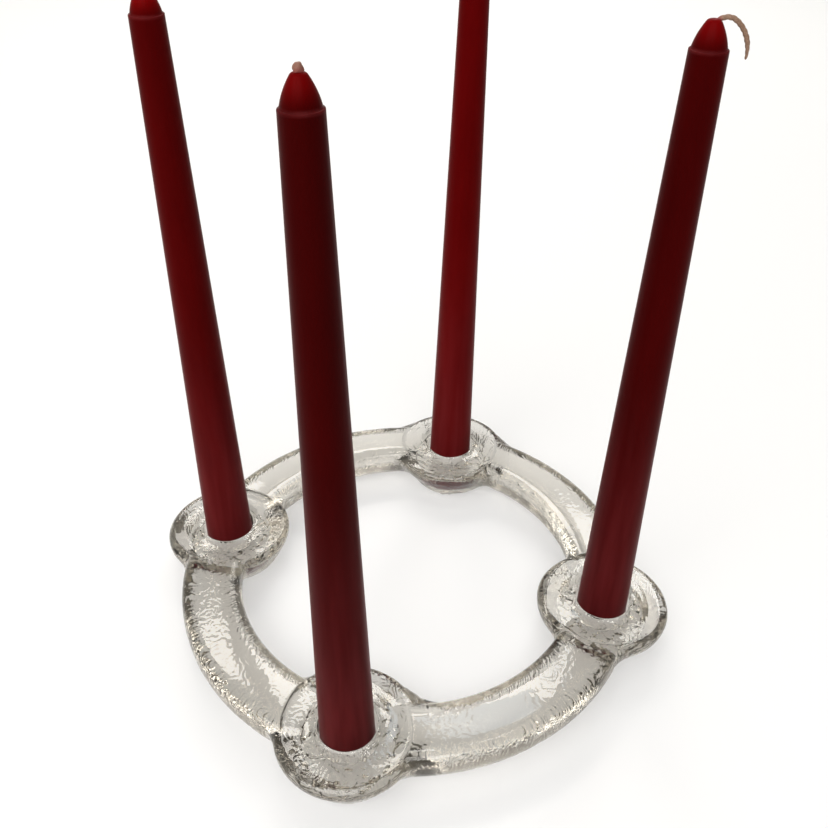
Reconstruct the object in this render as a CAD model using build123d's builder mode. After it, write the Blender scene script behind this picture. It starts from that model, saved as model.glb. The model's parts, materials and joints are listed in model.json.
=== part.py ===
from build123d import *
import math
import os

# An advent candle holder: one cast glass ring with four dished sockets, and a taper candle with its
# wick in each. Millimetres, Z up, origin on the floor at the ring's centre. The front socket lies
# towards -Y and the right one towards +X.

# Glass ring: the bar between the cups
ring_radius = 89.4
bar_width = 26.4
bar_height = 22.1
bar_widest_height = 14.4
bar_bottom_height = 3.8

# Glass ring: the cups
cup_radius = 28.7
cup_widest_height = 17.5
cup_foot_radius = 18.8
foot_round = 1.2
wall_round = 7.0
lip_height = 21.6
lip_outer_width = 3.2
lip_inner_width = 4.0
dish_edge_height = 19.9
mouth_height = 21.2
mouth_round = 0.9
socket_depth = 14.4
arm_end_flare = 0.8

# Candles
candle_length = 251.8
candle_foot_radius = 11.05
shoulder_radius = 5.8
shoulder_ledge = 0.55
tip_length = 8.0
tip_radius = 1.8
tip_belly_share = 0.64

# Wicks
wick_radius = 0.75
wick_stub = 1.0
wick_bend_radius = 1.0
wick_curl_radius = 6.6
wick_tail = 4.3

# Fits
socket_clearance = 0.2
seat_clearance = 0.05
wick_clearance = 0.03
cut_overrun = 5.0

# Each candle: where its socket lies round the ring, how far it leans towards +X and +Y, which way its
# wick bends over and by how much, first at the wax and then in its curl. All are in degrees. The shares
# are those of the wick's stub and tail that stand free.
CANDLES = {
    "front": {
        "bearing": -90.0, "lean_x_angle": -1.07, "lean_y_angle": 1.62,
        "wick_bearing": 150.0, "bend_angle": 14.0, "curl_angle": 6.0, "stub_share": 1.0, "tail_share": 0.05,
    },
    "right": {
        "bearing": 0.0, "lean_x_angle": -0.39, "lean_y_angle": 0.42,
        "wick_bearing": 14.0, "bend_angle": 75.0, "curl_angle": 115.0, "stub_share": 0.1, "tail_share": 1.0,
    },
    "back": {
        "bearing": 90.0, "lean_x_angle": 0.54, "lean_y_angle": -0.18,
        "wick_bearing": 215.0, "bend_angle": 30.0, "curl_angle": 34.0, "stub_share": 0.8, "tail_share": 0.5,
    },
    "left": {
        "bearing": 180.0, "lean_x_angle": 0.75, "lean_y_angle": -1.25,
        "wick_bearing": -60.0, "bend_angle": 48.0, "curl_angle": 62.0, "stub_share": 0.6, "tail_share": 0.7,
    },
}

# Worked out from the sizes above
lip_top_radius = cup_radius - lip_outer_width
dish_edge_radius = lip_top_radius - lip_inner_width
socket_floor = mouth_height - socket_depth
cut_top = max(bar_height, lip_height, mouth_height) + cut_overrun
rim_centre = Vector(cup_radius - wall_round, cup_widest_height)
foot_to_rim = rim_centre - Vector(cup_foot_radius, 0)
wall_length = math.sqrt(foot_to_rim.length**2 - wall_round**2)
wall_turn = math.degrees(math.asin(wall_round / foot_to_rim.length))
wall_angle = math.degrees(math.atan2(foot_to_rim.Y, foot_to_rim.X)) - wall_turn


def lean_direction(candle):
    """The way a candle's axis points, leaning a little from upright."""
    lean_x = math.tan(math.radians(candle["lean_x_angle"]))
    lean_y = math.tan(math.radians(candle["lean_y_angle"]))
    return Vector(lean_x, lean_y, 1).normalized()


def lean_angle(candle):
    """How far a candle leans from upright, in radians."""
    return math.acos(lean_direction(candle).Z)


def socket_place(candle):
    """The point on the floor under a socket's centre."""
    bearing = math.radians(candle["bearing"])
    return Vector(ring_radius * math.cos(bearing), ring_radius * math.sin(bearing), 0)


def candle_foot_plane(candle):
    """The plane of a candle's foot: its axis crosses the socket's at half depth, and its foot's lowest
    edge stands on the socket's floor. X points the way the wick bends."""
    along = lean_direction(candle)
    foot_height = candle_foot_radius * math.sin(lean_angle(candle)) + seat_clearance
    crossing = socket_place(candle) + Vector(0, 0, socket_floor + socket_depth / 2)
    foot = crossing - along * ((socket_depth / 2 - foot_height) / along.Z)
    bearing = math.radians(candle["wick_bearing"])
    sideways = Vector(math.cos(bearing), math.sin(bearing), 0)
    across = (sideways - along * sideways.dot(along)).normalized()
    return Plane(origin=foot, x_dir=across, z_dir=along)


# The socket is wide enough for the candle that leans most
most_lean = max(lean_angle(candle) for candle in CANDLES.values())
lean_room = (socket_depth / 2) * math.tan(most_lean)
socket_radius = candle_foot_radius + lean_room + socket_clearance

os.makedirs("parts", exist_ok=True)

# Glass ring: one casting, made as the bar, the cups on it, and then the dishes and sockets cut out
with BuildPart() as glass_ring:
    with BuildSketch(Plane.XZ):
        with BuildLine():
            widest = (ring_radius, bar_widest_height)
            crown_rise = bar_height - bar_widest_height
            belly_drop = bar_widest_height - bar_bottom_height
            EllipticalCenterArc(widest, bar_width / 2, crown_rise, 0, arc_size=180)
            EllipticalCenterArc(widest, bar_width / 2, belly_drop, 180, arc_size=180)
        make_face()
    revolve(axis=Axis.Z)

    # The cups: a bowl on a flat foot, whose wall widens evenly and then rounds into a rolled lip
    for candle in CANDLES.values():
        place = socket_place(candle)
        with BuildSketch(Plane(origin=place, x_dir=Plane.XZ.x_dir, z_dir=Plane.XZ.z_dir)) as bowl:
            with BuildLine():
                lip_rise = lip_height - cup_widest_height
                Line((0, 0), (cup_foot_radius, 0))
                wall = PolarLine((cup_foot_radius, 0), wall_length, wall_angle)
                TangentArc(wall @ 1, (cup_radius, cup_widest_height), tangent=wall % 1)
                EllipticalCenterArc((lip_top_radius, cup_widest_height), lip_outer_width, lip_rise)
                Line((lip_top_radius, lip_height), (0, lip_height))
                Line((0, lip_height), (0, 0))
            make_face()
            fillet(bowl.vertices().group_by(Axis.Y)[0].sort_by(Axis.X)[-1], foot_round)
        revolve(axis=Axis(place, (0, 0, 1)))

    # The dishes: a floor that falls from the socket's mouth to the foot of the lip. The cut flares above
    # the lip, where it ends the bar's crown. The socket goes down from the dish's middle.
    for candle in CANDLES.values():
        place = socket_place(candle)
        with BuildSketch(Plane(origin=place, x_dir=Plane.XZ.x_dir, z_dir=Plane.XZ.z_dir)):
            with BuildLine():
                lip_fall = lip_height - dish_edge_height
                mouth_edge = socket_radius + mouth_round
                Line((0, socket_floor), (socket_radius, socket_floor))
                Line((socket_radius, socket_floor), (socket_radius, mouth_height - mouth_round))
                RadiusArc(
                    (socket_radius, mouth_height - mouth_round), (mouth_edge, mouth_height), mouth_round
                )
                Line((mouth_edge, mouth_height), (dish_edge_radius, dish_edge_height))
                EllipticalCenterArc((lip_top_radius, dish_edge_height), lip_inner_width, lip_fall, 90)
                Line((lip_top_radius, lip_height), (lip_top_radius + arm_end_flare, cut_top))
                Line((lip_top_radius + arm_end_flare, cut_top), (0, cut_top))
                Line((0, cut_top), (0, socket_floor))
            make_face()
        revolve(axis=Axis(place, (0, 0, 1)), mode=Mode.SUBTRACT)

glass_ring.part.label = "glass_ring"
export_step(glass_ring.part, "parts/glass_ring.step")

for name, candle in CANDLES.items():
    foot_plane = candle_foot_plane(candle)
    upright_plane = Plane(origin=foot_plane.origin, x_dir=foot_plane.x_dir, z_dir=-foot_plane.y_dir)
    candle_axis = Axis(foot_plane.origin, foot_plane.z_dir)

    # The wax: a long taper to a ledge at the shoulder, then a pointed tip round the wick
    with BuildPart() as wax:
        with BuildSketch(upright_plane):
            with BuildLine():
                wick_bore = wick_radius + wick_clearance
                shoulder_height = candle_length - tip_length
                tip_base = shoulder_radius - shoulder_ledge
                belly = (
                    tip_radius + (tip_base - tip_radius) * tip_belly_share,
                    shoulder_height + tip_length / 2,
                )
                Line((wick_bore, 0), (candle_foot_radius, 0))
                Line((candle_foot_radius, 0), (shoulder_radius, shoulder_height))
                Line((shoulder_radius, shoulder_height), (tip_base, shoulder_height))
                ThreePointArc((tip_base, shoulder_height), belly, (tip_radius, candle_length))
                Line((tip_radius, candle_length), (wick_bore, candle_length))
                Line((wick_bore, candle_length), (wick_bore, 0))
            make_face()
        revolve(axis=candle_axis)
    wax.part.label = "candle_" + name
    export_step(wax.part, "parts/candle_" + name + ".step")

    # The wick: straight up through the wax, then over in a tight bend, a wide curl and a straight tail
    with BuildPart() as wick:
        with BuildLine(upright_plane):
            stub_end = candle_length + wick_stub * candle["stub_share"]
            core = Line((0, 0), (0, stub_end))
            bend = JernArc(core @ 1, core % 1, wick_bend_radius, -candle["bend_angle"])
            curl = JernArc(bend @ 1, bend % 1, wick_curl_radius, -candle["curl_angle"])
            Line(curl @ 1, curl @ 1 + (curl % 1) * wick_tail * candle["tail_share"])
        with BuildSketch(foot_plane):
            Circle(wick_radius)
        sweep()
    wick.part.label = "wick_" + name
    export_step(wick.part, "parts/wick_" + name + ".step")
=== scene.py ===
import json
import math

import bmesh
import bpy
import numpy as np
from mathutils import Matrix, Vector, noise


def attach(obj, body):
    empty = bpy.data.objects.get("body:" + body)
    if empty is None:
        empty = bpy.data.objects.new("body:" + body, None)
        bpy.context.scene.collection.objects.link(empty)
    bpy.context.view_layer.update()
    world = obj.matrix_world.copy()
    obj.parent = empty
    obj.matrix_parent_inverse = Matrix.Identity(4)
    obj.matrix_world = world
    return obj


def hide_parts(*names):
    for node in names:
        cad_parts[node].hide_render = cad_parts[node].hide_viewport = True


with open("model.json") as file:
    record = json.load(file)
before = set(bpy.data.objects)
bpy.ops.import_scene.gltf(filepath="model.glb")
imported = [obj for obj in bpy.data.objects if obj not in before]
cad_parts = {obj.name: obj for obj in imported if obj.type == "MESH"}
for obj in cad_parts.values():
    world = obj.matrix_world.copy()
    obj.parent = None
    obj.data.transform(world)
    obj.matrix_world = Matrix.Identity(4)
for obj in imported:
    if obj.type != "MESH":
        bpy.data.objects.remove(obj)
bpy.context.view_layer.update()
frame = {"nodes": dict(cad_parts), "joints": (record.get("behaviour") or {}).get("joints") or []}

# An advent candle holder: one cast glass ring with four dished sockets, and a red taper candle with its
# wick in each. Z is up, the front socket lies towards -Y and the right one towards +X. Lengths below are
# in millimetres, and MM turns them into the scene's metres.
MM = 0.001

# Glass ring, as in the CAD model
RING_RADIUS = 89.4
BAR_WIDTH = 26.4
BAR_HEIGHT = 22.1
BAR_WIDEST_HEIGHT = 14.4
BAR_BOTTOM_HEIGHT = 3.8
CUP_RADIUS = 28.7
CUP_WIDEST_HEIGHT = 17.5
CUP_FOOT_RADIUS = 18.8
WALL_ROUND = 7.0
MOUTH_HEIGHT = 21.2
MOUTH_ROUND = 0.9
SOCKET_RADIUS = 11.49
SOCKET_FLOOR = 6.8
ARM_END_RADIUS = 25.5
ARM_END_FLARE = 0.8
CUT_TOP = 30.0

# Glass ring: the softer form of the real casting
CROWN_POWER = 4.0
BELLY_POWER = 2.2
JUNCTION_BLEND = 4.5
JUNCTION_BLEND_TOP = 0.6
WEB_REACH = 18.0
EDGE_BLEND = 0.35
DISH_BEND_RADIUS = 16.0
DISH_BEND_HEIGHT = 19.75
LIP_CREST_RADIUS = 25.2
LIP_CREST_HEIGHT = 20.5
LIP_WANDER = 1.2
LIP_LONG_WAVES = 2
LIP_SHORT_WAVES = 5
LIP_SHORT_SHARE = 0.6
LIP_CREST_FADE = 2.0
LIP_RIM_FADE = 1.0
STEP_FOOT_HEIGHT = 20.2
STEP_ROUND = 0.6
STEP_FULL_ANGLE = math.radians(23.25)
STEP_END_ANGLE = math.radians(34.1)

# Corners between bar and cup that are filled out like a web: bearing, distance from the middle, blend
WEBBED_CORNERS = [(-70.0, 76.0, 15.0), (107.0, 103.0, 13.0), (73.0, 103.0, 13.0)]

# Glass mesh
GLASS_CELL = 0.45
WELD_DISTANCE = 0.001
NORMAL_REACH = 0.3
SETTLE_LIMIT = 1.0
SETTLE_ROUNDS = 4
RELAX_ROUNDS = 3
RELAX_SETTLE_ROUNDS = 2

# Glass surface: wrinkles on the underside and flanks, flutes in the sockets and pebbles on the feet
RIPPLE_DEPTH = 0.24
RIPPLE_SPACING = 1.6
RIPPLE_LENGTH = 5.0
RIPPLE_BEND_SHARE = 1.5
RIPPLE_KINK_SHARE = 0.7
FLANK_BEND_SHARE = 0.8
CUP_BELLY_SHARE = 0.6
PATCH_SHARE = 0.3
CUP_EDGE_FADE = 2.0
BORE_MARGIN = 1.0
FLUTE_DEPTH = 0.25
FLUTE_BEND_SHARE = 0.7
PEBBLE_DEPTH = 1.7
PEBBLE_SPACING = 3.2
PEBBLE_SHARE = 0.6
SMALL_PEBBLE_SHARE = 0.3
PEBBLE_LOW = 0.5
PEBBLE_HIGH = 3.0

# Glass surface: slow waves all over, and finer wrinkles in places on the top
WAVE_DEPTH = 0.06
WAVE_SPACING = 9.0
CHILL_SPACING = 2.6
CHILL_LENGTH = 5.0
CHILL_BEND_SHARE = 1.8
CHILL_KINK_SHARE = 0.7
CHILL_ARM_STRETCH = 3.0

# How far the surface faces up, from -1 to 1, where the belly, the flanks and the top begin and end
BELLY_FACING = (-0.8, -0.1)
FLANK_FACING = (0.0, 0.4)
TOP_FACING = (0.5, 0.85)

# Where the top is wrinkled: x, y, reach and depth
CHILL_MARKS = [
    (-66.0, -60.0, 50.0, 0.040), (82.0, -40.0, 24.0, 0.060), (40.0, -82.0, 16.0, 0.045),
    (63.0, -63.0, 30.0, 0.010), (63.0, 63.0, 50.0, 0.014), (-63.0, 63.0, 50.0, 0.010),
    (94.0, -15.0, 19.0, 0.11), (2.0, -105.0, 22.0, 0.12), (-84.0, -13.0, 17.0, 0.10),
    (3.0, 77.0, 17.0, 0.09), (76.0, 6.0, 14.0, 0.05), (-98.0, 4.0, 16.0, 0.05),
    (-70.0, 6.0, 14.0, 0.06), (-16.0, -82.0, 14.0, 0.06),
]

# Noise: each use has its own seed, and wrinkles and pebbles take the next one too
NOISE_STRIDE = (17.3, 5.7, 11.1)
BAR_SEED = 1
WAVE_SEED = 4
CUP_SEED = 5
PATCH_SEED = 9
FLUTE_SEED = 12
CHILL_SEED = 21
PEBBLE_SEED = 31

# Glass look
GLASS_COLOUR = (0.98, 0.97, 0.95, 1)
GLASS_BODY_COLOUR = (0.69, 0.665, 0.61, 1)
GLASS_BODY_DENSITY = 48.0
RIPPLE_MARK_SCALE = 750.0
RIPPLE_MARK_DEPTH = 0.12
CHILL_MARK_SCALE = 500.0
CHILL_MARK_DEPTH = 0.02
LIGHT_BOUNCES = 24

# Candles
CANDLE_LENGTH = 251.8
CANDLE_FOOT_RADIUS = 11.05
FOOT_ROUND = 0.7
SHOULDER_RADIUS = 5.8
SHOULDER_LEDGE = 0.55
SHOULDER_ROUND = 0.3
TIP_LENGTH = 8.0
TIP_RADIUS = 1.8
TIP_BELLY_SHARE = 0.64
TIP_ROUND = 1.5
TIP_LEAN = math.radians(32.0)
TIP_CLOSE_RADIUS = 0.1
SEAT_CLEARANCE = 0.05
CANDLE_SIDES = 96
EDGE_RING_SHARE = 0.997
UNEVEN_SHARE = 0.006
UNEVEN_HEIGHT = 60.0
UNEVEN_SCALE = 1.5
UNEVEN_STRIDE = 10.0

# Wax look: painted light lifts its red on some candles more than on others, a painted glow lights the tip
# and painted light lifts it inside the socket;
# the red is paler and pinker low down, and a painted highlight lights the shoulder's edge
WAX_DARK = (0.035, 0.0002, 0.0003)
WAX_LIGHT = (0.045, 0.0004, 0.0005)
# The paler, pinker red low down, also the colour of the painted highlight along the shoulder's edge
WAX_PALE_AND_HIGHLIGHT = (0.28, 0.044, 0.048)
WAX_SCATTER = 1.5
WAX_GRAIN_DEPTH = 0.3
# A painted glow that lights the tip, and how far below the tip's base it begins
PAINTED_TIP_GLOW = 2.4
PAINTED_TIP_GLOW_DROP = 0.5
# Painted light that lifts the red inside the socket, between these heights up from the foot
SOCKET_PAINTED_LIGHT = 1.6
SOCKET_LIGHT_LOW = 1.0
SOCKET_LIGHT_HIGH = 13.0
# How high the paler red reaches and how strongly it shows, and how wide and strong the painted highlight at
# the shoulder is
PALE_HEIGHT = 150.0
PALE_AND_HIGHLIGHT_SHARE = 0.24
SHOULDER_HIGHLIGHT = 0.9
SHOULDER_HIGHLIGHT_SHARE = 0.8

# Wicks
WICK_RADIUS = 0.75
WICK_STUB = 1.0
WICK_BEND_RADIUS = 1.0
WICK_CURL_RADIUS = 6.6
WICK_HANG_RADIUS = 11.5
WICK_TAIL = 4.3
WICK_SUNK = 3.0
WICK_SWELL = 0.6
WICK_STEP = 0.25
WICK_SIDES = 30
WICK_PLIES = 3
WICK_PITCH = 5.0
WICK_TAPER = 5.0
WICK_END_SHARE = 0.45
WICK_POINT_SHARE = 0.05
PLY_SHARE = 0.16
CORE_SHARE = 0.96

# Wick look
COTTON_DARK = (0.16, 0.085, 0.05)
COTTON_LIGHT = (0.30, 0.185, 0.12)
COTTON_STAINED = (0.20, 0.03, 0.025)
FIBRE_DEPTH = 0.2
STAIN_REACH = 1.5

# Each candle: which way its socket lies and which way its wick leans over, in degrees. The wick stands
# stub_share of WICK_STUB above the tip, or turns below it where that is negative. Then it turns through
# bend, curl and hang, in degrees, and ends in tail_share of WICK_TAIL. bend_share and curl_share are those
# of the two turns' radii, and taper_share that of WICK_TAPER. Girth is the wick's radius with the wax that
# clings to it, stain_share how red that wax makes it, and painted_light_share how much painted light lifts
# the candle's red, standing in for the light that falls more on some candles than on others.
CANDLES = {
    "front": {
        "bearing": -90.0, "wick_bearing": 150.0, "bend": 38.0, "curl": 8.0, "hang": 0.0,
        "bend_share": 1.0, "curl_share": 1.0, "stub_share": 0.4, "tail_share": 0.05, "taper_share": 0.1,
        "girth": 1.4, "stain_share": 0.4, "painted_light_share": 0.85,
    },
    "right": {
        "bearing": 0.0, "wick_bearing": 14.0, "bend": 50.0, "curl": 75.0, "hang": 61.0,
        "bend_share": 2.2, "curl_share": 0.67, "stub_share": -2.3, "tail_share": 0.0, "taper_share": 1.0,
        "girth": 0.78, "stain_share": 0.0, "painted_light_share": 1.0,
    },
    "back": {
        "bearing": 90.0, "wick_bearing": 215.0, "bend": 30.0, "curl": 34.0, "hang": 0.0,
        "bend_share": 1.0, "curl_share": 1.0, "stub_share": 0.8, "tail_share": 0.5, "taper_share": 1.0,
        "girth": 0.74, "stain_share": 0.0, "painted_light_share": 2.3,
    },
    "left": {
        "bearing": 180.0, "wick_bearing": -60.0, "bend": 48.0, "curl": 62.0, "hang": 0.0,
        "bend_share": 1.0, "curl_share": 1.0, "stub_share": 0.6, "tail_share": 0.7, "taper_share": 1.0,
        "girth": 0.74, "stain_share": 0.0, "painted_light_share": 1.6,
    },
}

# Floor and room
FLOOR_REACH = 15000.0
FLOOR_GAP = 0.15
FLOOR_COLOUR = (0.85, 0.85, 0.85, 1)
FLOOR_LIFT_SHARE = 0.35
ROOM_TINT = (1.0, 0.98, 0.94)
WHITE = (1.0, 1.0, 1.0)

# The room's brightness, from the horizon up to the zenith and from the left side to the right
ROOM_HEIGHT_LEVELS = [(0.0, 0.6), (0.25, 0.5), (0.6, 0.34), (1.0, 0.4)]
ROOM_SIDE_LEVELS = [(0.0, 1.0), (0.45, 0.8), (0.7, 0.45), (1.0, 0.4)]

# Lamps, all at one height: name, place, size, turn in degrees, brightness and colour. A brightness of 1
# looks as bright as a white floor.
LAMP_HEIGHT = 1550.0
LAMPS = [
    ("window", (-700, 985), (1000, 310), 42, 9, (1.0, 0.955, 0.89)),
    ("pane", (-430, 980), (300, 220), 20, 8, (1.0, 0.97, 0.92)),
    ("left_pane", (-1080, 1560), (320, 260), -32, 7, (1.0, 0.96, 0.9)),
    ("lamp", (70, 1140), (460, 150), -28, 9, (1.0, 0.96, 0.9)),
    ("strip", (140, 1400), (240, 330), 0, 9, (1.0, 0.98, 0.93)),
    ("door", (230, 1640), (420, 260), 0, 9, (1.0, 0.98, 0.93)),
    ("sky", (-50, 960), (460, 260), -52, 3.4, (0.74, 0.87, 1.0)),
    ("far_wall", (-400, 1850), (1700, 800), 0, 2.5, (1.0, 0.97, 0.9)),
    ("ceiling", (-80, 100), (320, 240), 15, 7, (1.0, 0.98, 0.95)),
    ("bulb", (360, 245), (200, 50), 35, 14, (1.0, 0.97, 0.93)),
    ("room", (-150, -1500), (2400, 1600), 0, 4.6, (1.0, 0.985, 0.965)),
]

# Camera
CAMERA_PLACE = Vector((71.52, -272.06, 312.94))
CAMERA_TARGET = Vector((-4.56, 27.0, 84.45))
CAMERA_ROLL = math.radians(0.65)
SENSOR_WIDTH = 36.0
IMAGE_SIZE = 828
FOCAL_PIXELS = 863.0
CLIP_NEAR = 10.0
CLIP_FAR = 50000.0


# Shared helpers

def make_piece(name, vertices, faces, material):
    """A smooth mesh object from points in millimetres."""
    mesh = bpy.data.meshes.new(name)
    mesh.from_pydata([tuple(float(c) * MM for c in v) for v in vertices], [], faces)
    mesh.validate()
    mesh.materials.append(material)
    mesh.polygons.foreach_set("use_smooth", [True] * len(mesh.polygons))
    mesh.update()
    piece = bpy.data.objects.new(name, mesh)
    bpy.context.scene.collection.objects.link(piece)
    return piece


def add_attribute(piece, name, values):
    """A number at each point of the mesh, for the material."""
    layer = piece.data.attributes.new(name, "FLOAT", "POINT")
    layer.data.foreach_set("value", np.asarray(values, float))


def place_piece(piece, body, node):
    """The piece stands for a CAD node and moves with its body."""
    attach(piece, body)
    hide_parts(node)


def smooth_step(low, high, x):
    """0 below low, 1 above high and a smooth rise between."""
    t = np.clip((x - low) / (high - low), 0, 1)
    return t * t * (3 - 2 * t)


def arc_points(centre, radii, start, stop, count):
    """Points along an arc of an upright ellipse, angles in degrees."""
    angles = np.radians(np.linspace(start, stop, count))
    return np.stack([centre[0] + radii[0] * np.cos(angles), centre[1] + radii[1] * np.sin(angles)], 1)


def noise_at(points, seed):
    """Smooth noise, about -1 to 1, at an array of points."""
    shift = Vector([seed * stride for stride in NOISE_STRIDE])
    return np.array([noise.noise(Vector(p) + shift) for p in points])


def add_ramp(tree, value, stops):
    """A colour ramp in a node tree: stops are (position, colour)."""
    node = tree.nodes.new("ShaderNodeValToRGB")
    elements = node.color_ramp.elements
    while len(elements) < len(stops):
        elements.new(0.5)
    for element, (position, colour) in zip(elements, stops):
        element.position = position
        element.color = (*colour, 1.0)
    tree.links.new(value, node.inputs["Fac"])
    return node.outputs["Color"]


# Materials

class Nodes:
    """Short calls that add shader nodes to one material."""

    def __init__(self, name):
        self.material = bpy.data.materials.new(name)
        self.material.use_nodes = True
        self.tree = self.material.node_tree
        self.shader = self.tree.nodes["Principled BSDF"]
        self.output = self.tree.nodes["Material Output"]

    def add(self, kind, **settings):
        node = self.tree.nodes.new(kind)
        for key, value in settings.items():
            setattr(node, key, value)
        return node

    def link(self, source, target):
        self.tree.links.new(source, target)

    def set(self, **values):
        """Sets constants on the shader's own sockets; an underscore stands for a space."""
        for key, value in values.items():
            self.shader.inputs[key.replace("_", " ")].default_value = value

    def attribute(self, name):
        """A number that the mesh holds at its points."""
        return self.add("ShaderNodeAttribute", attribute_name=name).outputs["Fac"]

    def maths(self, operation, a, b, **settings):
        """Two sockets, or a socket and a constant, combined."""
        node = self.add("ShaderNodeMath", operation=operation, **settings)
        self.link(a, node.inputs[0])
        if isinstance(b, float):
            node.inputs[1].default_value = b
        else:
            self.link(b, node.inputs[1])
        return node.outputs["Value"]

    def noise(self, scale, detail, stretch=(1, 1, 1)):
        """Noise in the object's own coordinates, with scale in cells to a metre."""
        place = self.add("ShaderNodeMapping")
        place.inputs["Scale"].default_value = stretch
        self.link(self.add("ShaderNodeTexCoord").outputs["Object"], place.inputs["Vector"])
        texture = self.add("ShaderNodeTexNoise")
        texture.inputs["Scale"].default_value = scale
        texture.inputs["Detail"].default_value = detail
        self.link(place.outputs["Vector"], texture.inputs["Vector"])
        return texture.outputs["Fac"]

    def ramp(self, value, stops):
        return add_ramp(self.tree, value, stops)

    def mix(self, a, b, blend_type, share=1.0):
        """Two colours mixed; b and share may be sockets or constants."""
        node = self.add("ShaderNodeMix", data_type="RGBA", blend_type=blend_type)
        self.link(a, node.inputs["A"])
        for value, target in ((b, node.inputs["B"]), (share, node.inputs["Factor"])):
            if isinstance(value, tuple):
                target.default_value = (*value, 1.0)
            elif isinstance(value, float):
                target.default_value = value
            else:
                self.link(value, target)
        return node.outputs["Result"]

    def bump(self, height, strength, depth, normal=None):
        """A bumped normal, over another one if given, with depth in millimetres."""
        node = self.add("ShaderNodeBump")
        if normal is not None:
            self.link(normal, node.inputs["Normal"])
        node.inputs["Strength"].default_value = strength
        node.inputs["Distance"].default_value = depth * MM
        self.link(height, node.inputs["Height"])
        return node.outputs["Normal"]


def glass_material():
    """Clear glass with a faint warm grey body, finely marked where its mesh is wrinkled."""
    nodes = Nodes("clear_glass")
    nodes.set(Base_Color=GLASS_COLOUR, Roughness=0.01, IOR=1.5, Transmission_Weight=1.0)
    absorb = nodes.add("ShaderNodeVolumeAbsorption")
    absorb.inputs["Color"].default_value = GLASS_BODY_COLOUR
    absorb.inputs["Density"].default_value = GLASS_BODY_DENSITY
    nodes.link(absorb.outputs["Volume"], nodes.output.inputs["Volume"])
    normal = None
    layers = [
        ("rippled", RIPPLE_MARK_SCALE, RIPPLE_MARK_DEPTH),
        ("chilled", CHILL_MARK_SCALE, CHILL_MARK_DEPTH),
    ]
    for name, scale, depth in layers:
        marks = nodes.maths("MULTIPLY", nodes.noise(scale, detail=2.0), nodes.attribute(name))
        normal = nodes.bump(marks, strength=1.0, depth=depth, normal=normal)
    nodes.link(normal, nodes.shader.inputs["Normal"])
    return nodes.material


def wax_material():
    """Dyed wax: deep red, with painted light that lifts it on some candles, at the tip and inside the
    socket, paler and pinker low down, and a painted highlight at the shoulder.
    """
    nodes = Nodes("burgundy_wax")
    nodes.set(Roughness=0.3, IOR=1.44, Specular_IOR_Level=0.012)
    nodes.set(Subsurface_Weight=0.1, Subsurface_Scale=WAX_SCATTER * MM, Subsurface_Radius=(1.0, 0.1, 0.06))
    nodes.set(Sheen_Weight=0.1, Sheen_Roughness=0.4, Sheen_Tint=(1.0, 0.45, 0.45, 1))
    mottle = nodes.noise(scale=90.0, detail=4.0, stretch=(1, 1, 0.25))
    deep = nodes.ramp(mottle, [(0.3, WAX_DARK), (0.7, WAX_LIGHT)])
    # Painted light: the red is multiplied up per candle, by the tip's painted glow and inside the socket
    painted_lit_red = nodes.mix(deep, nodes.attribute("painted_light"), "MULTIPLY")
    # A paler, pinker red in streaks low down, and a painted highlight along the shoulder's edge
    streaks = nodes.noise(scale=240.0, detail=3.0, stretch=(1, 1, 0.08))
    streaked = nodes.ramp(streaks, [(0.35, (0.45, 0.45, 0.45)), (0.65, WHITE)])
    paled_and_highlit = nodes.maths("MULTIPLY", streaked, nodes.attribute("pale_and_highlight"))
    nodes.link(nodes.mix(painted_lit_red, WAX_PALE_AND_HIGHLIGHT, "MIX", paled_and_highlit), nodes.shader.inputs["Base Color"])
    grain = nodes.noise(scale=700.0, detail=2.0, stretch=(1, 1, 0.15))
    nodes.link(nodes.bump(grain, strength=0.12, depth=WAX_GRAIN_DEPTH), nodes.shader.inputs["Normal"])
    return nodes.material


def wick_material():
    """Waxed cotton, red with wax where it leaves the candle."""
    nodes = Nodes("cotton_wick")
    nodes.set(Roughness=0.6)
    fibre = nodes.noise(scale=2600.0, detail=3.0)
    cotton = nodes.ramp(fibre, [(0.3, COTTON_DARK), (0.7, COTTON_LIGHT)])
    stained = nodes.mix(cotton, COTTON_STAINED, "MIX", nodes.attribute("stain"))
    nodes.link(stained, nodes.shader.inputs["Base Color"])
    nodes.link(nodes.bump(fibre, strength=0.4, depth=FIBRE_DEPTH), nodes.shader.inputs["Normal"])
    return nodes.material


def floor_material():
    """A pale floor. What is seen of it, straight, mirrored or through glass, is lifted some way to white."""
    nodes = Nodes("pale_floor")
    nodes.set(Base_Color=FLOOR_COLOUR, Roughness=0.9)
    path = nodes.add("ShaderNodeLightPath")
    seen = nodes.maths("ADD", path.outputs["Is Camera Ray"], path.outputs["Is Glossy Ray"])
    seen = nodes.maths("ADD", seen, path.outputs["Is Transmission Ray"], use_clamp=True)
    mix = nodes.add("ShaderNodeMixShader")
    nodes.link(nodes.maths("MULTIPLY", seen, FLOOR_LIFT_SHARE), mix.inputs["Fac"])
    nodes.link(nodes.shader.outputs["BSDF"], mix.inputs[1])
    nodes.link(nodes.add("ShaderNodeEmission").outputs["Emission"], mix.inputs[2])
    nodes.link(mix.outputs["Shader"], nodes.output.inputs["Surface"])
    return nodes.material


# Glass ring

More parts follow.
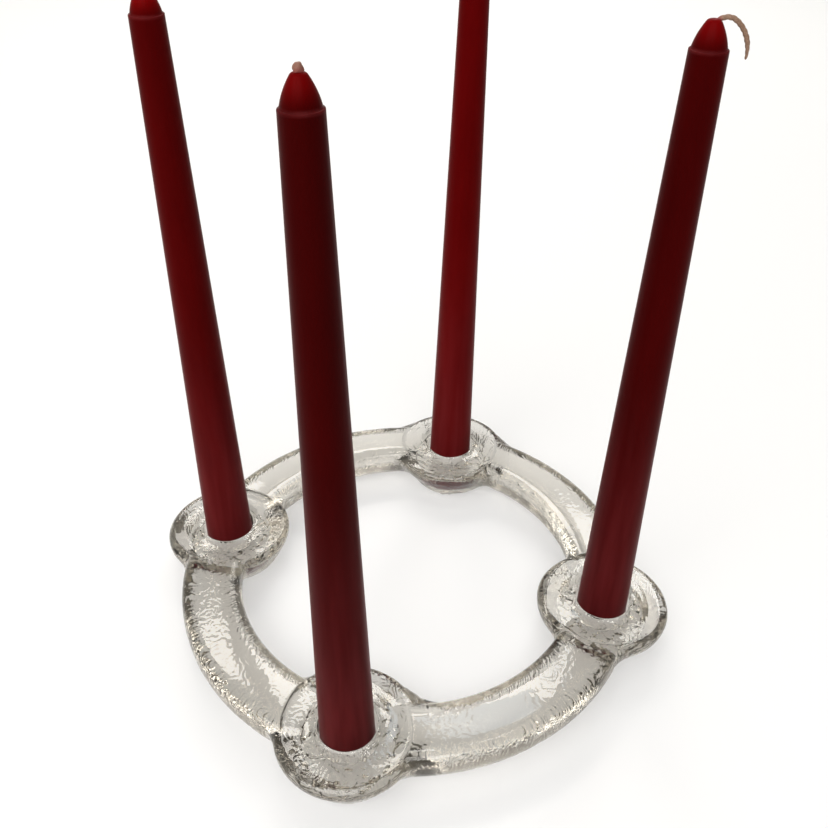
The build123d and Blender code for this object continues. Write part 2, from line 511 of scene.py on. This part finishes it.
class ProfileField:
    """Signed distance to a closed outline round the Z axis, looked up from a fine grid."""

    step = 0.2
    reach = 45.0
    low = -8.0
    high = 36.0
    last_cell = 1.001

    def __init__(self, outline):
        outline = np.vstack([outline, outline[::-1] * [-1, 1]])
        r = np.arange(0, self.reach, self.step)
        z = np.arange(self.low, self.high, self.step)
        grid_r, grid_z = np.meshgrid(r, z, indexing="ij")
        points = np.stack([grid_r.ravel(), grid_z.ravel()], 1)
        nearest = np.full(len(points), np.inf)
        inside = np.zeros(len(points), bool)
        for start, stop in zip(outline, np.roll(outline, -1, 0)):
            run = stop - start
            length = run @ run
            if length == 0:
                continue
            share = np.clip((points - start) @ run / length, 0, 1)
            away = points - start - share[:, None] * run
            nearest = np.minimum(nearest, (away * away).sum(1))
            crosses = (start[1] > points[:, 1]) != (stop[1] > points[:, 1])
            if run[1] != 0:
                at = start[0] + (points[:, 1] - start[1]) / run[1] * run[0]
                inside ^= crosses & (points[:, 0] < at)
        distance = np.sqrt(nearest)
        distance[inside] *= -1
        self.grid = distance.reshape(grid_r.shape)

    def at(self, r, z):
        across = np.clip(r / self.step, 0, self.grid.shape[0] - self.last_cell)
        up = np.clip((z - self.low) / self.step, 0, self.grid.shape[1] - self.last_cell)
        i = across.astype(int)
        j = up.astype(int)
        s = across - i
        t = up - j
        g = self.grid
        lower = g[i, j] * (1 - s) + g[i + 1, j] * s
        upper = g[i, j + 1] * (1 - s) + g[i + 1, j + 1] * s
        return lower * (1 - t) + upper * t


def cup_outline():
    """The outside of a cup: a flat foot, a wall that widens evenly, and the lip's long outward fall."""
    rim = (CUP_RADIUS - WALL_ROUND, CUP_WIDEST_HEIGHT)
    across = rim[0] - CUP_FOOT_RADIUS
    wall_turn = math.asin(WALL_ROUND / math.hypot(across, CUP_WIDEST_HEIGHT))
    wall_angle = math.degrees(math.atan2(CUP_WIDEST_HEIGHT, across) - wall_turn)
    wall = arc_points(rim, (WALL_ROUND, WALL_ROUND), wall_angle - 90, 0, count=16)
    fall = (CUP_RADIUS - LIP_CREST_RADIUS, LIP_CREST_HEIGHT - CUP_WIDEST_HEIGHT)
    lip = arc_points((LIP_CREST_RADIUS, CUP_WIDEST_HEIGHT), fall, 0, 90, count=24)
    return np.vstack([[(0, 0), (CUP_FOOT_RADIUS, 0)], wall, lip[1:], [(0, LIP_CREST_HEIGHT)]])


def dish_points(edge_radius, edge_height):
    """Up the socket's wall, round its mouth and along the dish's hollow to its edge."""
    mouth_centre = (SOCKET_RADIUS + MOUTH_ROUND, MOUTH_HEIGHT - MOUTH_ROUND)
    mouth = arc_points(mouth_centre, (MOUTH_ROUND, MOUTH_ROUND), 180, 90, count=12)
    t = np.linspace(0, 1, num=24)[1:, None]
    bend = np.array([DISH_BEND_RADIUS, DISH_BEND_HEIGHT])
    edge = np.array([edge_radius, edge_height])
    hollow = (1 - t) ** 2 * mouth[-1] + 2 * t * (1 - t) * bend + t**2 * edge
    return np.vstack([[(0, SOCKET_FLOOR), (SOCKET_RADIUS, SOCKET_FLOOR)], mouth, hollow])


SPACE_ABOVE = [(ARM_END_RADIUS + ARM_END_FLARE, CUT_TOP), (0, CUT_TOP)]


def cavity_outline():
    """What is cut out of a cup: the socket, its rounded mouth, the dish and the space over the lip."""
    return np.vstack([dish_points(LIP_CREST_RADIUS, LIP_CREST_HEIGHT), SPACE_ABOVE])


def arm_end_outline():
    """The same cut where an arm meets the cup: the dish runs on to a step that ends the arm's crown."""
    corner = (ARM_END_RADIUS - STEP_ROUND, STEP_FOOT_HEIGHT + STEP_ROUND)
    step = arc_points(corner, (STEP_ROUND, STEP_ROUND), -90, 0, count=8)
    return np.vstack([dish_points(*step[0]), step[1:], SPACE_ABOVE])


CUP_FIELD = ProfileField(cup_outline())
CAVITY_FIELD = ProfileField(cavity_outline())
ARM_END_FIELD = ProfileField(arm_end_outline())


def nearest_cup(points):
    """Each point's distance from the nearest cup's axis, its bearing round that axis, and how far that
    bearing is from the nearer arm's, in radians."""
    best = np.full(len(points), np.inf)
    bearing = np.zeros(len(points))
    off_arm = np.zeros(len(points))
    for candle in CANDLES.values():
        angle = math.radians(candle["bearing"])
        x = points[:, 0] - RING_RADIUS * math.cos(angle)
        y = points[:, 1] - RING_RADIUS * math.sin(angle)
        away = np.hypot(x, y)
        closer = away < best
        best = np.where(closer, away, best)
        out = x * math.cos(angle) + y * math.sin(angle) + away**2 / (2 * RING_RADIUS)
        aside = np.abs(y * math.cos(angle) - x * math.sin(angle))
        bearing = np.where(closer, np.arctan2(y, x), bearing)
        off_arm = np.where(closer, np.abs(np.arctan2(out, aside)), off_arm)
    return best, bearing, off_arm


def smooth_union(a, b, blend):
    """The distance to two forms together, run into each other over the blend."""
    share = np.clip(0.5 + 0.5 * (b - a) / blend, 0, 1)
    return b * (1 - share) + a * share - blend * share * (1 - share)


def bar_distance(points):
    """About the distance to the bar's surface: a crown flatter than an ellipse, over a round belly."""
    small = 1e-3
    across = np.abs(np.hypot(points[:, 0], points[:, 1]) - RING_RADIUS) / (BAR_WIDTH / 2)
    up = points[:, 2] - BAR_WIDEST_HEIGHT
    above = up > 0
    tall = np.where(above, BAR_HEIGHT - BAR_WIDEST_HEIGHT, BAR_WIDEST_HEIGHT - BAR_BOTTOM_HEIGHT)
    power = np.where(above, CROWN_POWER, BELLY_POWER)
    rise = np.abs(up) / tall
    near = np.maximum((across**power + rise**power) ** (1 / power), small)
    slope = np.hypot(across ** (power - 1) / (BAR_WIDTH / 2), rise ** (power - 1) / tall)
    return (near - 1) / np.maximum(slope * near ** (1 - power), small)


def junction_blend(points):
    """How widely the bar runs into the cups: less at the top, more in the corners where it is webbed."""
    wide = np.full(len(points), JUNCTION_BLEND)
    for bearing, distance, blend in WEBBED_CORNERS:
        angle = math.radians(bearing)
        x = points[:, 0] - distance * math.cos(angle)
        y = points[:, 1] - distance * math.sin(angle)
        wide += (blend - JUNCTION_BLEND) * (1 - smooth_step(WEB_REACH / 2, WEB_REACH, np.hypot(x, y)))
    top = smooth_step(CUP_WIDEST_HEIGHT, LIP_CREST_HEIGHT, points[:, 2])
    return wide + (JUNCTION_BLEND_TOP - wide) * top


def lip_wander(points, away, bearing):
    """How far the lip strays in or out at each point near it."""
    near_lip = smooth_step(DISH_BEND_RADIUS, LIP_CREST_RADIUS - LIP_CREST_FADE, away)
    near_lip *= 1 - smooth_step(LIP_CREST_RADIUS, CUP_RADIUS - LIP_RIM_FADE, away)
    long_wave = np.sin(LIP_LONG_WAVES * bearing + points[:, 0] / RING_RADIUS)
    short_wave = np.sin(LIP_SHORT_WAVES * bearing + points[:, 1] / RING_RADIUS)
    return LIP_WANDER * near_lip * (long_wave + LIP_SHORT_SHARE * short_wave) / (1 + LIP_SHORT_SHARE)


def glass_distance(points):
    """About the distance to the whole casting's surface, with its junctions blended."""
    away, bearing, off_arm = nearest_cup(points)
    away = away + lip_wander(points, away, bearing)
    cup = CUP_FIELD.at(away, points[:, 2])
    at_arm = 1 - smooth_step(STEP_FULL_ANGLE, STEP_END_ANGLE, off_arm)
    cavity = CAVITY_FIELD.at(away, points[:, 2]) * (1 - at_arm)
    cavity += ARM_END_FIELD.at(away, points[:, 2]) * at_arm
    solid = smooth_union(bar_distance(points), cup, junction_blend(points))
    return -smooth_union(-solid, cavity, EDGE_BLEND)


def glass_normals(points):
    """Unit directions out of the glass."""
    tiny = 1e-9
    slope = np.zeros_like(points)
    for axis in range(3):
        step = np.zeros(3)
        step[axis] = NORMAL_REACH
        slope[:, axis] = glass_distance(points + step) - glass_distance(points - step)
    return slope / np.maximum(np.linalg.norm(slope, axis=1), tiny)[:, None]


def settle(points, rounds):
    """Moves points onto the casting's surface."""
    for _ in range(rounds):
        move = np.clip(glass_distance(points), -SETTLE_LIMIT, SETTLE_LIMIT)
        points = points - glass_normals(points) * move[:, None]
    return points


def relax(points, edges):
    """Moves each point halfway to the mean of its neighbours."""
    total = np.zeros_like(points)
    count = np.zeros(len(points))
    for a, b in ((0, 1), (1, 0)):
        np.add.at(total, edges[:, a], points[edges[:, b]])
        np.add.at(count, edges[:, a], 1)
    return (points + total / count[:, None]) / 2


def crests(phase):
    """Even waves, 0 to 1, one to each whole number."""
    return 0.5 + 0.5 * np.sin(2 * np.pi * phase)


def wrinkle(lead, points, bend_share, seed):
    """Wavy lines, 0 to 1: crests follow each other along lead, bent this way and that by noise."""
    bend = noise_at(points / RIPPLE_LENGTH, seed) * RIPPLE_BEND_SHARE
    bend += noise_at(points / (2 * RIPPLE_SPACING), seed + 1) * RIPPLE_KINK_SHARE
    return crests(lead / RIPPLE_SPACING + bend * bend_share)


def chill(points, bearing, on_cup):
    """The top's finer wrinkles: how deep they are at each point, and how strongly the place is marked."""
    x, y, _ = points.T
    bend = noise_at(points / CHILL_LENGTH, CHILL_SEED) * CHILL_BEND_SHARE
    bend += noise_at(points / CHILL_SPACING, CHILL_SEED + 1) * CHILL_KINK_SHARE
    arm_lead = RING_RADIUS * np.arctan2(y, x) / (CHILL_ARM_STRETCH * CHILL_SPACING)
    cup_lead = bearing * CUP_FOOT_RADIUS / CHILL_SPACING
    lines = crests(bend + arm_lead * (1 - on_cup) + cup_lead * on_cup)
    marked = np.zeros(len(points))
    for at_x, at_y, reach, mark_depth in CHILL_MARKS:
        near = 1 - smooth_step(reach / 2, reach, np.hypot(x - at_x, y - at_y))
        marked = np.maximum(marked, mark_depth * near)
    return marked * lines**2, np.sqrt(marked / marked.max())


def pebbles(points):
    """Rounded lumps, 0 to 1, large ones with small ones on them."""
    large = noise_at(points / PEBBLE_SPACING, PEBBLE_SEED)
    small = noise_at(2 * points / PEBBLE_SPACING, PEBBLE_SEED + 1)
    return np.clip(0.5 + PEBBLE_SHARE * large + SMALL_PEBBLE_SHARE * small, 0, 1)


def ripple(points, normals):
    """How deep the surface is wrinkled at each point, and how strongly it is marked below and on top: the
    mould's marks lie on the underside and the flanks, across the bar and out from each cup's middle, and
    finer ones in places on the top."""
    away, bearing, _ = nearest_cup(points)
    x, y, z = points.T
    up = normals[:, 2]
    on_cup = 1 - smooth_step(CUP_RADIUS - CUP_EDGE_FADE, CUP_RADIUS + CUP_EDGE_FADE, away)
    in_socket = (away < SOCKET_RADIUS + MOUTH_ROUND) & (z > SOCKET_FLOOR - BORE_MARGIN)
    outside = np.where(in_socket, 0, 1)

    # The mould's marks, and the pebbles that take their place on the feet
    belly = 1 - smooth_step(*BELLY_FACING, up)
    cup_bend_share = FLANK_BEND_SHARE + CUP_BELLY_SHARE * belly
    bar_lines = wrinkle(RING_RADIUS * np.arctan2(y, x), points, FLANK_BEND_SHARE + belly, BAR_SEED)
    cup_lines = wrinkle(bearing * CUP_FOOT_RADIUS, points, cup_bend_share, CUP_SEED)
    lines = bar_lines * (1 - on_cup) + cup_lines * on_cup
    patchy = 1 - PATCH_SHARE + PATCH_SHARE * noise_at(points / WAVE_SPACING, PATCH_SEED)
    below = (1 - smooth_step(*FLANK_FACING, up)) * outside
    foot = 1 - smooth_step(PEBBLE_LOW, PEBBLE_HIGH, z)
    depth = RIPPLE_DEPTH * below * lines * patchy * (1 - foot)
    depth += PEBBLE_DEPTH * below * foot * pebbles(points)

    # The waves, the top's wrinkles and the sockets' flutes
    depth += WAVE_DEPTH * (0.5 + 0.5 * noise_at(points / WAVE_SPACING, WAVE_SEED)) * outside
    on_top = smooth_step(*TOP_FACING, up) * outside
    chill_depth, chilled = chill(points, bearing, on_cup)
    depth += chill_depth * on_top
    flutes = wrinkle(bearing * SOCKET_RADIUS, points, FLUTE_BEND_SHARE, FLUTE_SEED)
    fluted = in_socket & (z < MOUTH_HEIGHT - 2 * MOUTH_ROUND)
    depth += np.where(fluted, FLUTE_DEPTH * flutes, 0)
    return depth, below, chilled * on_top


def even_mesh(source):
    """A copy of a mesh, welded and remeshed in even cells."""
    source = source.copy()
    shape = bmesh.new()
    shape.from_mesh(source)
    bmesh.ops.remove_doubles(shape, verts=shape.verts, dist=WELD_DISTANCE * MM)
    shape.to_mesh(source)
    shape.free()
    draft = bpy.data.objects.new("glass_draft", source)
    bpy.context.scene.collection.objects.link(draft)
    remesh = draft.modifiers.new("even_cells", "REMESH")
    remesh.mode = "VOXEL"
    remesh.voxel_size = GLASS_CELL * MM
    shown = draft.evaluated_get(bpy.context.evaluated_depsgraph_get())
    mesh = bpy.data.meshes.new_from_object(shown)
    bpy.data.objects.remove(draft)
    return mesh


def make_glass_ring(material):
    """The casting: the CAD solid's surface remeshed evenly, settled on the blended form and wrinkled."""
    mesh = even_mesh(frame["nodes"]["glass_ring"].data)
    points = np.empty(len(mesh.vertices) * 3)
    mesh.vertices.foreach_get("co", points)
    points = points.reshape(-1, 3) / MM
    edges = np.empty(len(mesh.edges) * 2, int)
    mesh.edges.foreach_get("vertices", edges)
    edges = edges.reshape(-1, 2)
    points = settle(points, SETTLE_ROUNDS)
    for _ in range(RELAX_ROUNDS):
        points = settle(relax(points, edges), RELAX_SETTLE_ROUNDS)
    normals = glass_normals(points)
    depth, rippled, chilled = ripple(points, normals)
    points = points - normals * depth[:, None]
    points[:, 2] = np.clip(points[:, 2], 0, BAR_HEIGHT)
    mesh.vertices.foreach_set("co", (points * MM).ravel())
    mesh.materials.clear()
    mesh.materials.append(material)
    mesh.polygons.foreach_set("use_smooth", [True] * len(mesh.polygons))
    mesh.update()
    piece = bpy.data.objects.new("glass_casting", mesh)
    bpy.context.scene.collection.objects.link(piece)
    add_attribute(piece, "rippled", rippled)
    add_attribute(piece, "chilled", chilled)
    return piece


# Candles

def lean_of(name):
    """The way a candle's axis points: its lift joint's axis."""
    for joint in frame["joints"]:
        if joint["name"] == "lift_" + name:
            return Vector(joint["axis"]).normalized()


def candle_frame(name):
    """A candle's own frame in millimetres: origin at its foot, Z up its axis, X the way its wick bends."""
    candle = CANDLES[name]
    along = lean_of(name)
    bearing = math.radians(candle["bearing"])
    depth = MOUTH_HEIGHT - SOCKET_FLOOR
    middle = Vector((
        RING_RADIUS * math.cos(bearing), RING_RADIUS * math.sin(bearing), SOCKET_FLOOR + depth / 2,
    ))
    foot_height = CANDLE_FOOT_RADIUS * math.sin(math.acos(along.z)) + SEAT_CLEARANCE
    foot = middle - along * ((depth / 2 - foot_height) / along.z)
    wick = math.radians(candle["wick_bearing"])
    sideways = Vector((math.cos(wick), math.sin(wick), 0))
    across = (sideways - along * sideways.dot(along)).normalized()
    turned = along.cross(across)
    return Matrix((
        (across.x, turned.x, along.x, foot.x),
        (across.y, turned.y, along.y, foot.y),
        (across.z, turned.z, along.z, foot.z),
        (0, 0, 0, 1),
    ))


def tip_profile():
    """Radius and height up the tip: a bowed cone that runs into a small dome."""
    shoulder = CANDLE_LENGTH - TIP_LENGTH
    tip_base = SHOULDER_RADIUS - SHOULDER_LEDGE
    dome_rise = TIP_ROUND * (1 - math.sin(TIP_LEAN))
    up = np.linspace(0, 1 - dome_rise / TIP_LENGTH, num=18)
    middle = TIP_RADIUS + (tip_base - TIP_RADIUS) * TIP_BELLY_SHARE
    bow = 2 * (tip_base + TIP_RADIUS - 2 * middle)
    fall = 3 * tip_base + TIP_RADIUS - 4 * middle
    cone = np.stack([tip_base - fall * up + bow * up**2, shoulder + TIP_LENGTH * up], 1)
    dome_centre = (cone[-1][0] - TIP_ROUND * math.cos(TIP_LEAN), CANDLE_LENGTH - TIP_ROUND)
    dome = arc_points(dome_centre, (TIP_ROUND, TIP_ROUND), math.degrees(TIP_LEAN), 90, count=8)
    return np.vstack([cone, dome[1:], [(TIP_CLOSE_RADIUS, CANDLE_LENGTH)]])


def candle_profile():
    """Radius and height up a candle, from its wick at the foot round to its wick at the tip."""
    shoulder = CANDLE_LENGTH - TIP_LENGTH
    foot_centre = (CANDLE_FOOT_RADIUS - FOOT_ROUND, FOOT_ROUND)
    foot = arc_points(foot_centre, (FOOT_ROUND, FOOT_ROUND), -90, 0, count=7)
    rise = np.append(np.linspace(0, 1, num=60)[1:-1], EDGE_RING_SHARE)
    flank = np.stack([
        CANDLE_FOOT_RADIUS + (SHOULDER_RADIUS - CANDLE_FOOT_RADIUS) * rise,
        FOOT_ROUND + (shoulder - FOOT_ROUND - SHOULDER_ROUND) * rise,
    ], 1)
    ledge_centre = (SHOULDER_RADIUS - SHOULDER_ROUND, shoulder - SHOULDER_ROUND)
    ledge = arc_points(ledge_centre, (SHOULDER_ROUND, SHOULDER_ROUND), 0, 90, count=7)
    return np.vstack([[(WICK_RADIUS, 0)], foot, flank, ledge, tip_profile()])


def make_candle(name, material):
    """A taper candle turned on its own axis, a little uneven as cast wax is."""
    place = candle_frame(name)
    profile = candle_profile()
    shift = Vector((0, 0, UNEVEN_STRIDE * list(CANDLES).index(name)))
    vertices = []
    for radius, height in profile:
        for k in range(CANDLE_SIDES):
            angle = 2 * math.pi * k / CANDLE_SIDES
            at = Vector((math.cos(angle), math.sin(angle), height / UNEVEN_HEIGHT))
            uneven = 1 - UNEVEN_SHARE * (0.5 + 0.5 * noise.noise(at * UNEVEN_SCALE + shift))
            if radius <= WICK_RADIUS:
                uneven = 1
            point = Vector((radius * uneven * math.cos(angle), radius * uneven * math.sin(angle), height))
            vertices.append(place @ point)
    faces = []
    for ring in range(len(profile)):
        here = ring * CANDLE_SIDES
        above = (ring + 1) % len(profile) * CANDLE_SIDES
        for k in range(CANDLE_SIDES):
            beside = (k + 1) % CANDLE_SIDES
            faces.append((here + k, here + beside, above + beside, above + k))
    piece = make_piece("candle_wax_" + name, vertices, faces, material)

    heights = np.repeat(profile[:, 1], CANDLE_SIDES)
    shoulder = CANDLE_LENGTH - TIP_LENGTH
    # Painted glow up the tip
    glow = smooth_step(shoulder - PAINTED_TIP_GLOW_DROP, CANDLE_LENGTH, heights)
    # Painted light inside the socket, where the glass lets little light reach the wax
    socket_lit = 1 - smooth_step(SOCKET_LIGHT_LOW, SOCKET_LIGHT_HIGH, heights)
    # The painted light on the red: each candle's painted light share, with the tip's painted glow and the
    # socket's painted light
    add_attribute(piece, "painted_light", CANDLES[name]["painted_light_share"] * (1 + PAINTED_TIP_GLOW * glow) + SOCKET_PAINTED_LIGHT * socket_lit)
    # A paler, pinker red towards the foot, and a painted highlight along the shoulder's edge
    low = 1 - smooth_step(0, PALE_HEIGHT, heights)
    edge = 1 - smooth_step(0, SHOULDER_HIGHLIGHT, np.abs(heights - shoulder))
    add_attribute(piece, "pale_and_highlight", PALE_AND_HIGHLIGHT_SHARE * np.maximum(low, SHOULDER_HIGHLIGHT_SHARE * edge))
    return piece


def wick_line(candle):
    """Points up a wick's middle line from just under the candle's tip, in the candle's own frame, with
    the heading at each."""
    bend_radius = WICK_BEND_RADIUS * candle["bend_share"]
    curl_radius = WICK_CURL_RADIUS * candle["curl_share"]
    turns = [
        (WICK_SUNK + WICK_STUB * candle["stub_share"], 0.0),
        (bend_radius * math.radians(candle["bend"]), candle["bend"]),
        (curl_radius * math.radians(candle["curl"]), candle["curl"]),
        (WICK_HANG_RADIUS * math.radians(candle["hang"]), candle["hang"]),
        (WICK_TAIL * candle["tail_share"], 0.0),
    ]
    x = 0.0
    z = CANDLE_LENGTH - WICK_SUNK
    heading = 0.0
    line = [(x, z, heading)]
    for length, angle in turns:
        count = max(2, math.ceil(length / WICK_STEP))
        turn = math.radians(angle) / count
        for _ in range(count):
            heading += turn / 2
            x += math.sin(heading) * length / count
            z += math.cos(heading) * length / count
            heading += turn / 2
            line.append((x, z, heading))
    return line


def wick_rings(candle):
    """A wick's rings, from the candle's foot to its end: middle, heading, radius and length run so far."""
    line = wick_line(candle)
    runs = [0.0]
    for before, after in zip(line, line[1:]):
        runs.append(runs[-1] + math.hypot(after[0] - before[0], after[1] - before[1]))
    core = WICK_RADIUS * CORE_SHARE
    taper = WICK_TAPER * candle["taper_share"]
    rings = [(Vector((0, 0, 0)), 0.0, core, 0.0)]
    for (x, z, heading), run in zip(line, runs):
        left = runs[-1] - run
        free = float(smooth_step(WICK_SUNK - WICK_SWELL, WICK_SUNK, run))
        radius = core + (candle["girth"] - core) * free
        thin = min(1.0, WICK_END_SHARE + (1 - WICK_END_SHARE) * left / taper)
        blunt = math.sqrt(max(0.0, 1 - max(0.0, 1 - left / candle["girth"]) ** 2))
        rings.append((Vector((x, 0, z)), heading, radius * thin * max(blunt, WICK_POINT_SHARE), run))
    return rings


def make_wick(name, material):
    """A waxed wick: one plied tube through the wax, then along its free line to a rounded end."""
    candle = CANDLES[name]
    place = candle_frame(name)
    rings = wick_rings(candle)
    vertices = []
    stain = []
    for centre, heading, radius, run in rings:
        u = Vector((math.cos(heading), 0, -math.sin(heading)))
        v = Vector((0, 1, 0))
        twist = 2 * math.pi * run / WICK_PITCH
        near_wax = 1 - float(smooth_step(WICK_SUNK, WICK_SUNK + STAIN_REACH, run))
        for k in range(WICK_SIDES):
            angle = 2 * math.pi * k / WICK_SIDES
            lobed = radius * (1 - PLY_SHARE * (0.5 - 0.5 * math.cos(WICK_PLIES * (angle - twist))))
            vertices.append(place @ (centre + lobed * (math.cos(angle) * u + math.sin(angle) * v)))
            stain.append(max(near_wax, candle["stain_share"]))
    faces = [tuple(reversed(range(WICK_SIDES)))]
    for ring in range(len(rings) - 1):
        for k in range(WICK_SIDES):
            a = ring * WICK_SIDES + k
            b = ring * WICK_SIDES + (k + 1) % WICK_SIDES
            faces.append((a, b, b + WICK_SIDES, a + WICK_SIDES))
    last = (len(rings) - 1) * WICK_SIDES
    faces.append(tuple(range(last, last + WICK_SIDES)))
    piece = make_piece("wick_strands_" + name, vertices, faces, material)
    add_attribute(piece, "stain", stain)
    return piece


# Stage

def make_floor(material):
    """A wide level floor just under the feet."""
    corners = [(-1, -1), (1, -1), (1, 1), (-1, 1)]
    places = [(x * FLOOR_REACH, y * FLOOR_REACH, -FLOOR_GAP) for x, y in corners]
    make_piece("floor", places, [(0, 1, 2, 3)], material)


def make_light(name, place, size, turn, brightness, colour):
    """A lit rectangle overhead that faces down."""
    lamp = bpy.data.lights.new(name, "AREA")
    lamp.shape = "RECTANGLE"
    lamp.size = size[0] * MM
    lamp.size_y = size[1] * MM
    lamp.energy = brightness * math.pi * lamp.size * lamp.size_y
    lamp.color = colour
    holder = bpy.data.objects.new(name, lamp)
    holder.location = (place[0] * MM, place[1] * MM, LAMP_HEIGHT * MM)
    holder.rotation_euler = (0, 0, math.radians(turn))
    bpy.context.scene.collection.objects.link(holder)


def make_world():
    """A dim soft room: lighter at the horizon and to the left, darker higher up and to the right."""
    world = bpy.data.worlds.new("soft_room")
    bpy.context.scene.world = world
    world.use_nodes = True
    tree = world.node_tree
    split = tree.nodes.new("ShaderNodeSeparateXYZ")
    tree.links.new(tree.nodes.new("ShaderNodeTexCoord").outputs["Generated"], split.inputs["Vector"])
    across = tree.nodes.new("ShaderNodeMapRange")
    across.inputs["From Min"].default_value = -1
    tree.links.new(split.outputs["X"], across.inputs["Value"])
    height_stops = [(at, [level * tint for tint in ROOM_TINT]) for at, level in ROOM_HEIGHT_LEVELS]
    side_stops = [(at, [level * tint for tint in WHITE]) for at, level in ROOM_SIDE_LEVELS]
    product = tree.nodes.new("ShaderNodeMix")
    product.data_type = "RGBA"
    product.blend_type = "MULTIPLY"
    product.inputs["Factor"].default_value = 1.0
    tree.links.new(add_ramp(tree, split.outputs["Z"], height_stops), product.inputs["A"])
    tree.links.new(add_ramp(tree, across.outputs["Result"], side_stops), product.inputs["B"])
    tree.links.new(product.outputs["Result"], tree.nodes["Background"].inputs["Color"])


def make_camera():
    """The photograph's view, with its slight roll."""
    ahead = (CAMERA_TARGET - CAMERA_PLACE).normalized()
    right = ahead.cross(Vector((0, 0, 1))).normalized()
    up = right.cross(ahead)
    rolled_right = right * math.cos(CAMERA_ROLL) + up * math.sin(CAMERA_ROLL)
    rolled_up = up * math.cos(CAMERA_ROLL) - right * math.sin(CAMERA_ROLL)
    data = bpy.data.cameras.new("camera")
    data.sensor_width = SENSOR_WIDTH
    data.lens = FOCAL_PIXELS / IMAGE_SIZE * SENSOR_WIDTH
    data.clip_start = CLIP_NEAR * MM
    data.clip_end = CLIP_FAR * MM
    camera = bpy.data.objects.new("camera", data)
    turn = Matrix((rolled_right, rolled_up, -ahead)).transposed().to_4x4()
    camera.matrix_world = Matrix.Translation(CAMERA_PLACE * MM) @ turn
    bpy.context.scene.collection.objects.link(camera)
    bpy.context.scene.camera = camera


# The scene

glass = glass_material()
wax = wax_material()
cotton = wick_material()
place_piece(make_glass_ring(glass), "holder", "glass_ring")
for name in CANDLES:
    place_piece(make_candle(name, wax), "candle_" + name, "candle_" + name)
    place_piece(make_wick(name, cotton), "candle_" + name, "wick_" + name)

make_floor(floor_material())
make_world()
for lamp in LAMPS:
    make_light(*lamp)
make_camera()

scene = bpy.context.scene
scene.view_settings.view_transform = "Standard"
scene.cycles.max_bounces = LIGHT_BOUNCES
scene.cycles.transmission_bounces = LIGHT_BOUNCES
scene.cycles.caustics_refractive = True
scene.cycles.caustics_reflective = False
